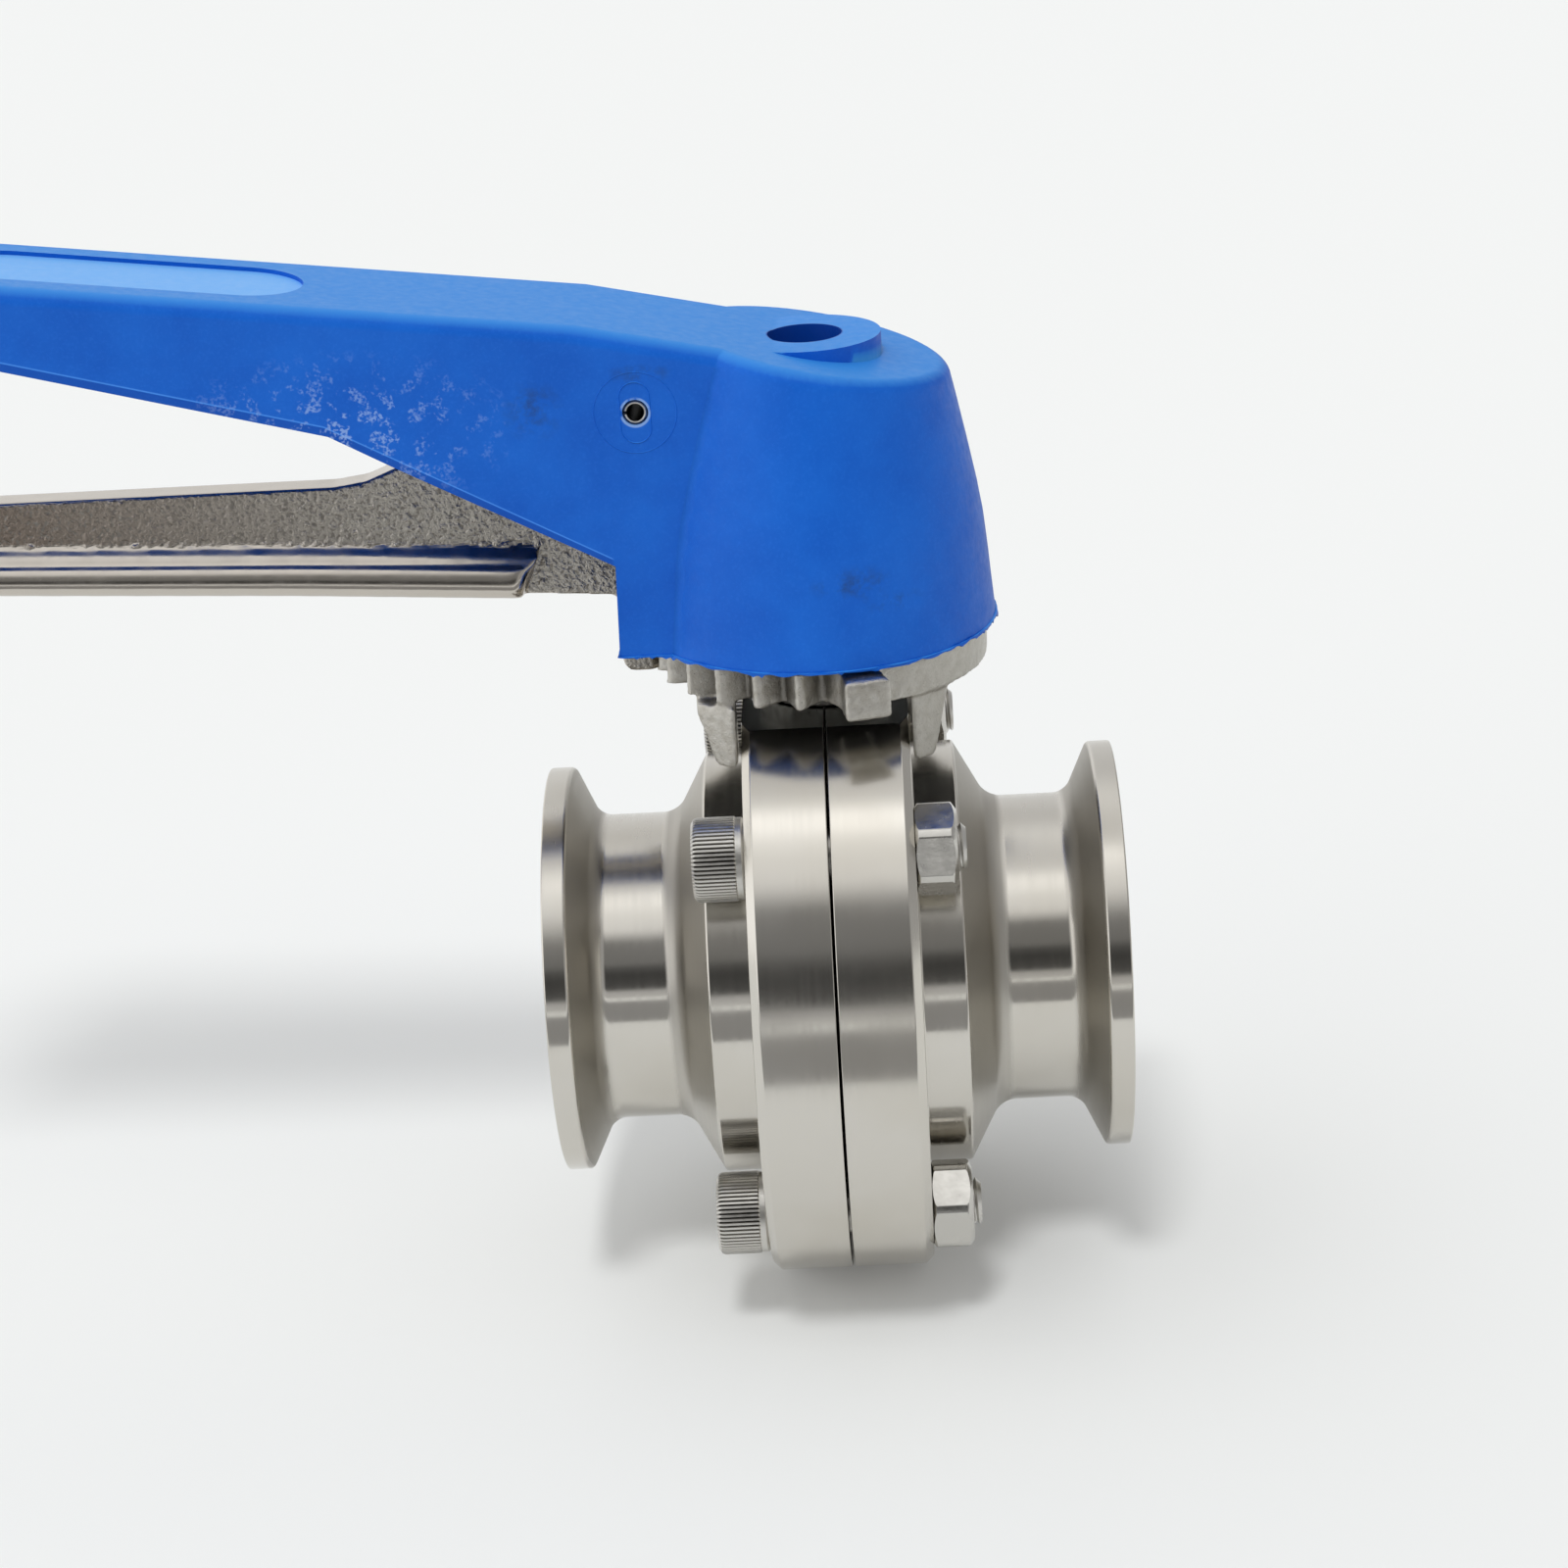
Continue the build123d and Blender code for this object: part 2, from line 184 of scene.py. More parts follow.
def turned_steel():
    """Body halves: bright on the cylinders, satin on the cones and in the fillets."""
    f = Finish("turned_steel", (0.64, 0.612, 0.557), 1.0, 0.15)
    x, y, z = f.parts()
    radius = f.length(f.joined(0.0, y, z))
    reach = f.math("ABSOLUTE", x)
    neck_cone = f.times(f.rise(reach, 15.2, 15.6), f.fall(reach, 20.2, 20.9))
    end_cone = f.times(f.rise(reach, 28.2, 28.9), f.fall(radius, 24.8, 25.2),
                       f.fall(reach, 32.4, 32.8))
    satin = f.math("MAXIMUM", neck_cone, end_cone)

    rings = f.joined(x, radius)
    fine = f.noise(9000, 3, 0.6, rings)
    coarse = f.noise(1700, 2, 0.5, rings)
    streaks = f.total(f.times(f.noise(140, 4, 0.6), 0.6), f.times(coarse, 0.4))
    rim = f.rise(radius, 36.6, 37.2)
    crown = f.rise(z, 29, 33, 0.04)
    brow = f.times(f.rise(z, 10, 14, 0.13), f.fall(radius, 26, 27))
    f.into("Roughness", f.total(f.spread(streaks, 0.35, 0.65, 0.085, 0.15), f.times(rim, 0.05),
                                f.total(crown, brow), f.times(satin, 0.24)))
    normal = f.bump(coarse, 0.000004, 1.0, f.bump(fine, 0.0000028))
    f.into("Normal", f.bump(f.noise(60, 2), 0.00008, 0.1, normal))

    tint = f.spread(f.noise(55, 3), 0.4, 0.7)
    color = f.blend(tint, (0.64, 0.615, 0.565), (0.6, 0.57, 0.51))
    color = f.blend(f.times(satin, 0.7), color, (0.46, 0.44, 0.4))
    # Painted shade: the flat top under the notch plate is coloured near black, for the shade in the
    # gap.
    painted_shade_flat = f.rise(z, FLAT_TOP - 0.1, FLAT_TOP - 0.04)
    f.into("Base Color", f.blend(painted_shade_flat, color, (0.13, 0.135, 0.13)))
    return f.mat


def blasted_cast():
    """The notch plate: lost-wax casting, bead blasted, with painted shade in its notches and
    underneath.
    """
    f = Finish("blasted_cast", (0.6, 0.575, 0.53), 1.0, 0.42)
    x, y, z = f.parts()
    grain = f.noise(3600, 4, 0.75)
    lumps = f.noise(900, 3, 0.55)
    color = f.blend(f.spread(lumps, 0.35, 0.65), (0.5, 0.475, 0.425), (0.62, 0.6, 0.555))
    # Painted shade: the plate darkens towards +X, the side away from the light.
    color = f.blend(f.rise(x, 4, 18, 0.8), color, (0.42, 0.405, 0.365))
    radius = f.length(f.joined(x, y))
    # Painted shade: the notches between the teeth are coloured dark.
    valley = f.times(f.fall(radius, 17.4, 19.5, 0.7), f.rise(z, 39.8, 40))
    color = f.blend(valley, color, (0.16, 0.15, 0.135))
    # Painted shade: faces turned down inside the teeth are coloured near black.
    facing_down = f.spread(f.parts(f.facing)[2], -0.8, -0.5, 1.0, 0.0)
    plate_underside_shade = f.times(facing_down, f.fall(radius, 17.0, 18.5))
    f.into("Base Color", f.blend(plate_underside_shade, color, (0.08, 0.08, 0.08)))
    f.into("Roughness", f.spread(grain, 0.3, 0.7, 0.25, 0.42))
    f.into("Normal", f.bump(grain, 0.0001, 0.8, f.bump(lumps, 0.00018, 0.5)))
    return f.mat


def lever_cast():
    """The lever: pebbled cast web, edges and finger bead polished."""
    f = Finish("lever_cast", (0.5, 0.46, 0.41), 1.0, 0.3)
    x, y, _ = f.parts()
    flat = f.spread(f.math("ABSOLUTE", f.parts(f.facing)[1]), 0.8, 0.95)
    web = f.times(flat, f.fall(f.math("ABSOLUTE", y), 2.5, 2.8))
    grain = f.noise(3600, 3, 0.6)
    pits = f.noise(1900, 2, 0.5)
    # The web turns darker and browner towards its left end, and the pits of the pebbling get
    # painted shade.
    web_tone_and_pit_shade = f.blend(f.rise(x, -100, -50), (0.25, 0.205, 0.17), (0.45, 0.425, 0.385))
    web_tone_and_pit_shade = f.blend(f.spread(pits, 0.36, 0.46), (0.27, 0.25, 0.225), web_tone_and_pit_shade)
    f.into("Base Color", f.blend(web, (0.56, 0.52, 0.465), web_tone_and_pit_shade))
    f.into("Roughness", f.total(f.uneven(400, 0.13, 0.24), f.times(web, 0.16)))
    height = f.times(f.total(f.spread(pits, 0.38, 0.62), f.times(grain, 0.3)), web)
    f.into("Normal", f.bump(height, 0.00011, 0.9, f.bump(f.noise(260, 2), 0.00005, 0.5)))
    return f.mat


# Oval smudges on the handle: centre and half size.
SMUDGES = (((-31.5, -12, 75.5), (4, 3, 4)), ((-19, -12, 79.2), (4.5, 3, 1.3)),
           ((4.5, -20, 55), (5.5, 5, 2.6)), ((9, -18, 52.3), (4, 5, 1.6)))


def handle_plastic(name, dark, light, upper, low, high):
    """Blue moulded nylon, a little rubbed and smudged; painted sheen on its tops, painted shade in
    the bore, along the lower edges and underneath, and a painted highlight line above the lower
    edges.
    """
    f = Finish(name, dark, 0.0, low, Specular_IOR_Level=0.26)
    x, y, z = f.parts()
    upward = f.parts(f.facing)[2]
    speckle = f.noise(2600, 2, 0.6)
    color = f.blend(f.spread(f.noise(90, 4, 0.6), 0.35, 0.68), dark, light)
    color = f.blend(f.spread(speckle, 0.5, 0.72, 0.0, 0.18), color, (0.02, 0.19, 0.75))
    # Painted sheen: faces turned up take the lighter upper colour, for the sky's sheen on the tops.
    color = f.blend(f.spread(upward, 0.55, 0.97), color, upper)

    # Painted shade: the inside of the boss's bore is coloured dark.
    bore = f.times(f.fall(f.length(f.joined(x, y)), 4.4, 4.6), f.rise(z, 70, 71))
    color = f.blend(bore, color, (0.0, 0.05, 0.36))
    pin_ring = f.fall(f.from_pin(x, z), 1.72, 1.85)
    chipped = f.times(pin_ring, f.spread(f.noise(800, 2), 0.36, 0.5))
    color = f.blend(f.times(chipped, 0.75), color, (0.28, 0.46, 0.8))

    edge = None
    for x0, z0, slope in BEAM_EDGE:
        line = f.math("MULTIPLY_ADD", f.distance(x, x0), slope, z0 * MM)
        edge = f.math("MINIMUM", edge, line) if edge else line
    above = f.math("SUBTRACT", z, edge)
    side = f.times(f.rise(f.math("ABSOLUTE", y), 11.0, 11.2), f.fall(x, -23.8, -23.4))
    # Painted shade on the rounded lower edge of the beam, and above it a painted highlight line
    # where the edge catches light.
    lower_edge_shade = f.times(f.fall(above, 0.95, 1.05), side)
    color = f.blend(f.times(lower_edge_shade, 0.55), color, (0.0, 0.055, 0.38))
    painted_edge_highlight = f.times(f.rise(above, 0.98, 1.06), f.fall(above, 1.14, 1.26), side)
    color = f.blend(f.times(painted_edge_highlight, 0.7), color, (0.07, 0.3, 0.88))

    coarse_chips = f.spread(f.noise(620, 2), 0.52, 0.6)
    fine_chips = f.spread(f.noise(2600, 2), 0.44, 0.6)
    scuff = f.patch((-54, -12, 74), (22, 4, 10))
    color = f.blend(f.times(coarse_chips, fine_chips, scuff, 0.65), color, (0.32, 0.48, 0.84))
    # Painted shade: faces turned down are coloured darker.
    color = f.blend(f.spread(upward, -0.75, -0.4, 0.6, 0.0), color, (0.004, 0.035, 0.2))
    smudged = None
    for centre, size in SMUDGES:
        spot = f.patch(centre, size)
        smudged = f.math("MAXIMUM", smudged, spot) if smudged else spot
    smudged = f.times(smudged, f.spread(f.noise(420, 4, 0.65), 0.45, 0.68))
    f.into("Base Color", f.blend(f.times(smudged, 0.75), color, (0.015, 0.05, 0.16)))
    f.into("Roughness", f.uneven(900, low, high))
    f.into("Normal", f.bump(speckle, 0.000018, 0.7, f.bump(f.noise(240, 3), 0.00006, 0.5)))
    return f.mat


def knurled_steel():
    """Screws: satin, darker between the knurls of the heads."""
    f = Finish("screw_steel", (0.6, 0.585, 0.55), 1.0, 0.34)
    x, y, z = f.parts()
    from_bolt = f.length(f.joined(0.0, f.distance(f.math("ABSOLUTE", y), BOLT_OFFSET),
                                  f.distance(f.math("ABSOLUTE", z), BOLT_OFFSET)))
    along = f.times(f.fall(x, -11.2, -11.0), f.rise(x, -16.0, -15.8))
    # The valleys between the knurls are coloured darker.
    knurl_valley_dark = f.times(f.fall(from_bolt, 4.62, 4.8), along)
    f.into("Base Color", f.blend(knurl_valley_dark, (0.62, 0.605, 0.57), (0.26, 0.25, 0.23)))
    f.into("Roughness", f.uneven(1300, 0.28, 0.42))
    f.into("Normal", f.bump(f.noise(2400, 3), 0.00004, 0.6))
    return f.mat


def tube_steel():
    """The roll pin: bright ends, painted shade down the middle."""
    f = Finish("pin_steel", (0.72, 0.71, 0.69), 1.0, 0.3)
    x, _, z = f.parts()
    # Painted shade: the inside of the tube is coloured near black.
    pin_bore_shade = f.fall(f.from_pin(x, z), 1.02, 1.08)
    f.into("Base Color", f.blend(pin_bore_shade, (0.75, 0.74, 0.72), (0.02, 0.02, 0.02)))
    f.into("Normal", f.bump(f.noise(1500, 3), 0.00004, 0.6))
    return f.mat


def plated_steel():
    """The nuts and the spring."""
    f = Finish("nut_steel", (0.57, 0.555, 0.52), 1.0, 0.18)
    f.into("Roughness", f.uneven(800, 0.18, 0.28))
    f.into("Normal", f.bump(f.noise(1800, 3), 0.00002, 0.6))
    return f.mat


def rubbed(name, color, roughness):
    """Seals and bushings: one colour, slightly uneven."""
    f = Finish(name, color, 0.0, roughness)
    f.into("Roughness", f.uneven(500, roughness * 0.85, roughness * 1.2))
    f.into("Normal", f.bump(f.noise(1600, 3), 0.00002, 0.6))
    return f.mat


body_steel = turned_steel()
plate_cast = blasted_cast()
lever_steel = lever_cast()
# The fourth colour of each finish is the painted sheen on faces turned up; the label recess floor
# faces up, so it shows nearly that colour.
blue = handle_plastic("handle_plastic", (0.0, 0.1, 0.55), (0.003, 0.129, 0.63),
                      (0.032, 0.252, 0.73), 0.42, 0.56)
label_blue = handle_plastic("label_recess", (0.03, 0.19, 0.66), (0.05, 0.23, 0.74),
                            (0.15, 0.44, 0.92), 0.38, 0.48)
screw_steel = knurled_steel()
pin_steel = tube_steel()
nut_steel = plated_steel()

finish_of_slot = {
    "polished_steel": body_steel,
    "cast_steel": plate_cast,
    "fastener_steel": screw_steel,
    "handle_plastic": blue,
    "seat_rubber": rubbed("seat_rubber", (0.02, 0.02, 0.021), 0.5),
    "bushing_plastic": rubbed("bushing_plastic", (0.8, 0.79, 0.74), 0.4),
}
for row in frame["record"]["subparts"]:
    materials = nodes[row["node"]].data.materials
    materials.clear()
    materials.append(finish_of_slot[row["material_slot"]])


# ---------------------------------------------------------------- shaping
# Shapes are made in millimetres and scaled to metres as they become pieces.
ALONG_X = Matrix.Rotation(math.pi / 2, 4, "Y")
FULL_TURN = 2 * math.pi


def mesh_of(name, bm):
    mesh = bpy.data.meshes.new(name)
    bm.to_mesh(mesh)
    bm.free()
    return mesh


def put(name, data):
    obj = bpy.data.objects.new(name, data)
    bpy.context.scene.collection.objects.link(obj)
    return obj


def work_object(bm):
    return put("work", mesh_of("work", bm))


def drop(obj):
    mesh = obj.data
    bpy.data.objects.remove(obj)
    bpy.data.meshes.remove(mesh)


def shaped_by(obj):
    """The bmesh that an object's modifiers give."""
    graph = bpy.context.evaluated_depsgraph_get()
    mesh = bpy.data.meshes.new_from_object(obj.evaluated_get(graph))
    bm = bmesh.new()
    bm.from_mesh(mesh)
    bpy.data.meshes.remove(mesh)
    return bm


def combine(bm, other, operation="DIFFERENCE"):
    a = work_object(bm)
    b = work_object(other)
    mod = a.modifiers.new("combine", "BOOLEAN")
    mod.operation = operation
    mod.object = b
    mod.solver = "EXACT"
    result = shaped_by(a)
    drop(a)
    drop(b)
    return result


def new_piece(name, bm, body, replaced, finish, sharp=32, weighted=True):
    bmesh.ops.scale(bm, vec=(MM, MM, MM), verts=bm.verts)
    mesh = mesh_of(name, bm)
    for item in finish if isinstance(finish, tuple) else (finish,):
        mesh.materials.append(item)
    mesh.shade_smooth()
    mesh.set_sharp_from_angle(angle=math.radians(sharp))
    piece = put(name, mesh)
    if weighted:
        mod = piece.modifiers.new("even_shading", "WEIGHTED_NORMAL")
        mod.keep_sharp = True
    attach(piece, body)
    if replaced:
        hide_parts(*replaced)
    return piece


def chain(bm, points, closed=False):
    verts = [bm.verts.new(p) for p in points]
    edges = [bm.edges.new(pair) for pair in zip(verts, verts[1:])]
    if closed:
        edges.append(bm.edges.new((verts[-1], verts[0])))
    return verts, edges


def spin(bm, geom, axis, steps, angle=FULL_TURN, **options):
    bmesh.ops.spin(bm, geom=geom, cent=(0, 0, 0), axis=axis, angle=angle, steps=steps, **options)


def bevel(bm, geom, size, segments, affect, **options):
    bmesh.ops.bevel(bm, geom=geom, offset=size, offset_type="OFFSET", segments=segments,
                    profile=0.5, affect=affect, material=-1, **options)


def turned(points, axis, steps, corners=()):
    """Turn a closed outline about an axis; corners are (index, size, segments)."""
    bm = bmesh.new()
    verts, _ = chain(bm, points, closed=True)
    for index, size, segments in corners:
        bevel(bm, [verts[index]], size, segments, "VERTICES")
    spin(bm, bm.verts[:] + bm.edges[:], axis, steps, use_merge=True)
    bmesh.ops.remove_doubles(bm, verts=bm.verts, dist=1e-4)
    bmesh.ops.recalc_face_normals(bm, faces=bm.faces)
    return bm


def turned_x(profile, steps, corners=()):
    return turned([(x, 0, r) for x, r in profile], (1, 0, 0), steps, corners)


def turned_z(profile, steps):
    return turned([(r, 0, z) for r, z in profile], (0, 0, 1), steps)


def rod(bm, start, end, radius, segments):
    """A closed round rod between two points."""
    start, end = Vector(start), Vector(end)
    along = end - start
    turn = along.to_track_quat("Z", "Y").to_matrix().to_4x4()
    bmesh.ops.create_cone(bm, cap_ends=True, segments=segments, radius1=radius, radius2=radius,
                          depth=along.length, matrix=Matrix.Translation((start + end) / 2) @ turn)


def plug(segments, radius_1, radius_2, depth, x, turn=ALONG_X):
    """A cone or prism on the X axis, with its middle at x."""
    bm = bmesh.new()
    bmesh.ops.create_cone(bm, cap_ends=True, segments=segments, radius1=radius_1,
                          radius2=radius_2, depth=depth,
                          matrix=Matrix.Translation((x, 0, 0)) @ turn)
    return bm


def cut_flat(bm, point, direction):
    """Cut away what lies beyond a plane and close the cut."""
    cut = bmesh.ops.bisect_plane(bm, geom=bm.verts[:] + bm.edges[:] + bm.faces[:], dist=1e-5,
                                 plane_co=point, plane_no=direction, clear_outer=True)
    edges = [e for e in cut["geom_cut"] if isinstance(e, bmesh.types.BMEdge)]
    bmesh.ops.contextual_create(bm, geom=edges)


def node_copy(name):
    bm = bmesh.new()
    bm.from_mesh(nodes[name].data)
    bmesh.ops.scale(bm, vec=(1000, 1000, 1000), verts=bm.verts)
    bmesh.ops.remove_doubles(bm, verts=bm.verts, dist=1e-4)
    bmesh.ops.recalc_face_normals(bm, faces=bm.faces)
    return bm


def cast_skin(bm, voxel, rounds):
    """Give a shape the soft edges of a casting."""
    obj = work_object(bm)
    mod = obj.modifiers.new("skin", "REMESH")
    mod.mode = "VOXEL"
    mod.voxel_size = voxel
    mod = obj.modifiers.new("soften", "SMOOTH")
    mod.factor = 0.5
    mod.iterations = rounds
    result = shaped_by(obj)
    drop(obj)
    return result


def soften(bm, verts, rounds, along_x):
    for _ in range(rounds):
        bmesh.ops.smooth_vert(bm, verts=verts, factor=0.5, use_axis_x=along_x, use_axis_y=True,
                              use_axis_z=True)


# ---------------------------------------------------------------- body
# Half section (x, r) of one body half, and the corners to round: (index, size, segments).
BODY_PROFILE = (
    (0.15, 20.05), (0.15, FLANGE_R), (8.94, FLANGE_R), (FLANGE_FACE, 37.86), (FLANGE_FACE, 26.3),
    (15.3, 26.3), (19.3, 19.05), (29.2, 19.05), (32.15, 25.25), (35, 25.25), (35, 23.14),
    (33.8, 23.14), (33.8, 20.36), (35, 20.36), (35, 17.4), (8.05, 17.4), (8.05, 20.05),
)
BODY_CORNERS = (
    (1, 0.16, 3), (2, 0.12, 3), (3, 0.12, 3), (4, 0.3, 4), (5, 0.22, 4), (6, 1.75, 10),
    (7, 1.55, 10), (8, 0.35, 4), (9, 0.25, 4), (10, 0.1, 2), (11, 1.15, 6), (12, 1.15, 6),
    (13, 0.1, 2), (14, 0.2, 3),
)
STEM_HOLE_R = 7.05
BOLT_HOLE_R = 3.3
BOLT_ANGLES = [math.radians(45 + 90 * k) for k in range(4)]


def body_half(name, side):
    bm = turned_x(BODY_PROFILE, 256, BODY_CORNERS)
    cut_flat(bm, (0, 0, FLAT_TOP), (0, 0, 1))
    holes = bmesh.new()
    for low, high in ((10, 45), (-34.2, -10)):
        rod(holes, (0, 0, low), (0, 0, high), STEM_HOLE_R, 96)
    for angle in BOLT_ANGLES:
        y, z = BOLT_CIRCLE * math.cos(angle), BOLT_CIRCLE * math.sin(angle)
        rod(holes, (-1, y, z), (11, y, z), BOLT_HOLE_R, 48)
    bm = combine(bm, holes)
    if side < 0:
        bmesh.ops.scale(bm, vec=(-1, 1, 1), verts=bm.verts)
        bmesh.ops.reverse_faces(bm, faces=bm.faces)
    return new_piece(name, bm, "body",
                     ["body_half_outlet" if side > 0 else "body_half_inlet"], body_steel)


body_half("body_flange_outlet", 1)
body_half("body_flange_inlet", -1)


# ---------------------------------------------------------------- fasteners
HEAD_END = -16.14
RIDGES = 60
# Stations along the head: x, radius of the ridges, radius of the valleys.
HEAD_STATIONS = (
    (-FLANGE_FACE, 4.6, 4.6), (-10.25, 4.86, 4.86), (-10.95, 4.86, 4.86), (-11.1, 5.0, 4.55),
    (-15.45, 5.0, 4.55), (-15.85, 4.84, 4.5), (HEAD_END, 4.4, 4.4),
)


def knurled_head():
    """Knurled socket head lying along -X, with its bearing face on the flange."""
    bm = bmesh.new()
    bmesh.ops.create_circle(bm, segments=RIDGES * 4, radius=5, matrix=ALONG_X)
    first = loop = bm.edges[:]

    def place(verts, station):
        x, ridge, valley = station
        for v in verts:
            angle = math.atan2(v.co.z, v.co.y)
            in_valley = round(angle / FULL_TURN * RIDGES * 4) % 4 == 3
            r = valley if in_valley else ridge
            v.co = (x, r * math.cos(angle), r * math.sin(angle))

    place(bm.verts, HEAD_STATIONS[0])
    for station in HEAD_STATIONS[1:]:
        made = bmesh.ops.extrude_edge_only(bm, edges=loop)["geom"]
        loop = [e for e in made if isinstance(e, bmesh.types.BMEdge)]
        place([v for v in made if isinstance(v, bmesh.types.BMVert)], station)
    bmesh.ops.contextual_create(bm, geom=loop)
    bmesh.ops.contextual_create(bm, geom=first)
    bmesh.ops.recalc_face_normals(bm, faces=bm.faces)
    bm = combine(bm, plug(6, 2.887, 2.887, 6, HEAD_END))
    countersink = plug(48, 2.4, 3.4, 1, -16.0, Matrix.Rotation(-math.pi / 2, 4, "Y"))
    return combine(bm, countersink)


def threaded_shank():
    """Plain shank with a rolled thread at its far end."""
    pitch, crest, root, start = 1.0, 2.98, 2.42, 1.0
    turns, steps = 17, 36
    thread_from, end = 3.0, 15.94
    section = ((0, root + 0.02), (0.09, root), (0.16, root + 0.05), (0.45, crest - 0.06),
               (0.5, crest), (0.57, crest), (0.62, crest - 0.06), (0.92, root + 0.06),
               (1.0, root + 0.02))
    bm = bmesh.new()
    chain(bm, [(start + x * pitch, 0, r) for x, r in section])
    spin(bm, bm.verts[:] + bm.edges[:], (1, 0, 0), steps * turns, FULL_TURN * turns,
         dvec=(pitch / steps, 0, 0))
    bmesh.ops.remove_doubles(bm, verts=bm.verts, dist=1e-3)
    bmesh.ops.recalc_face_normals(bm, faces=bm.faces)
    cut_flat(bm, (end, 0, 0), (1, 0, 0))
    cut_flat(bm, (thread_from, 0, 0), (-1, 0, 0))
    bmesh.ops.recalc_face_normals(bm, faces=bm.faces)
    tip = turned_x(((thread_from, 0.001), (thread_from, 3.4), (15.2, 3.4), (15.2, 3.05),
                    (end, 2.4), (end, 0.001)), 48)
    bm = combine(bm, tip, "INTERSECT")
    plain = bmesh.new()
    rod(plain, (-11, 0, 0), (3.4, 0, 0), 2.99, 48)
    return combine(plain, bm, "UNION")


def nut_blank():
    """Hexagon on the flange with both faces chamfered and its hole opened at the ends."""
    bm = plug(6, 5.7735, 5.7735, 5, 12.44)
    ends = [e for e in bm.edges if abs(e.verts[0].co.x - e.verts[1].co.x) > 1]
    bevel(bm, ends, 0.36, 4, "EDGES")
    shell = turned_x(((FLANGE_FACE, 0.001), (FLANGE_FACE, 4.8), (10.33, 5.46), (14.3, 5.46),
                      (14.94, 4.5), (14.94, 0.001)),
                     96, ((1, 0.1, 2), (2, 0.12, 2), (3, 0.18, 3), (4, 0.14, 3)))
    bm = combine(bm, shell, "INTERSECT")
    bore = turned_x(((9.5, 0.001), (9.5, 3.5), (FLANGE_FACE, 3.45), (10.3, 3.04), (14.45, 3.04),
                     (14.94, 3.5), (15.5, 3.5), (15.5, 0.001)), 64)
    return combine(bm, bore)


def at_bolt(source, angle, degrees):
    """A copy of a fastener turned on itself and carried to its bolt hole."""
    bm = source.copy()
    turn = Matrix.Rotation(math.radians(degrees), 4, "X")
    place = Matrix.Translation((0, BOLT_CIRCLE * math.cos(angle), BOLT_CIRCLE * math.sin(angle)))
    bmesh.ops.transform(bm, matrix=place @ turn, verts=bm.verts)
    return bm


SCREW_TURNS = (0, 24, 47, 13)
NUT_TURNS = (110, 138.6, 101, 125)
screw = combine(knurled_head(), threaded_shank(), "UNION")
nut = nut_blank()
for k, angle in enumerate(BOLT_ANGLES):
    bm = at_bolt(screw, angle, SCREW_TURNS[k])
    new_piece(f"flange_screw_{k + 1}", bm, "body", [f"body_screw_{k + 1}"],
              screw_steel, 25)
    bm = at_bolt(nut, angle, NUT_TURNS[k])
    new_piece(f"flange_nut_{k + 1}", bm, "body", [f"hex_nut_{k + 1}"],
              nut_steel, 25)
screw.free()
nut.free()


# ---------------------------------------------------------------- notch plate
LEG_INNER_X = 10.4
LEG_TOP_Z = 40.5
LUG_ANGLE = -77
LUG_FOOT_R = 19.8


def flare_leg(v):
    """Widen the left legs outwards where they meet the plate."""
    if v.co.x < -LEG_INNER_X and v.co.z < LEG_TOP_Z:
        flare = min(1.0, max(0.0, (v.co.z - 30) / 9)) * min(1.0, (LEG_TOP_Z - v.co.z) / 2.5)
        v.co.x -= 0.8 * flare * (-v.co.x - LEG_INNER_X) / 4.7


def cast_plate():
    relief = turned_z(((7.9, 35.5), (11, 35.5), (11, 39.9), (7.9, 39.9)), 64)
    bm = cast_skin(combine(node_copy("notch_plate"), relief), 0.26, 9)
    lug = []
    for v in bm.verts:
        flare_leg(v)
        past = math.degrees(math.atan2(v.co.y, v.co.x)) - LUG_ANGLE
        reach = math.hypot(v.co.x, v.co.y) - LUG_FOOT_R
        if abs(past) < 9 and reach > 0:
            widen = (0.25 if past > 0 else 0.06) * past * min(1.0, reach)
            v.co = Matrix.Rotation(math.radians(widen), 3, "Z") @ v.co
            if v.co.z < 40:
                v.co.z += 0.4 * min(1.0, reach)
            if reach > 1:
                lug.append(v)
    soften(bm, lug, 14, True)
    bm.normal_update()
    for v in bm.verts:
        lump = noise.noise(v.co * 0.9) * 0.07 + noise.noise(v.co * 2.6) * 0.04
        v.co += v.normal * lump
    return new_piece("notch_plate_cast", bm, "body", ["notch_plate"], plate_cast,
                     60, False)


cast_plate()


# ---------------------------------------------------------------- lever
WEB_HALF = 2.3
BEAD_END_X = -32.5
# Upper and lower edge of the bead: points (x, z).
BEAD_TOP = ((-134.5, 61.6), (-97.3, 59.6), (-62.2, 58), (-33.2, 56.4))
BEAD_FOOT = ((-134.5, 57), (-98, 54), (-62.8, 52.1), (-35.4, 50.3))
# Half section of the bead: share of its height against how far it stands out of the web.
BEAD_SHAPE = ((0, 0), (0, 2.3), (0.05, 2.95), (0.15, 3.2), (0.3, 3.15), (0.45, 2.85), (0.6, 2.3),
              (0.75, 1.6), (0.9, 0.7), (0.98, 0))
BEAD_MIDDLE = 0.3
BAR_OUT = 3.2


def height_at(x, points):
    for (x0, z0), (x1, z1) in zip(points, points[1:]):
        if x < x1 or x1 == points[-1][0]:
            return z0 + (z1 - z0) * (x - x0) / (x1 - x0)


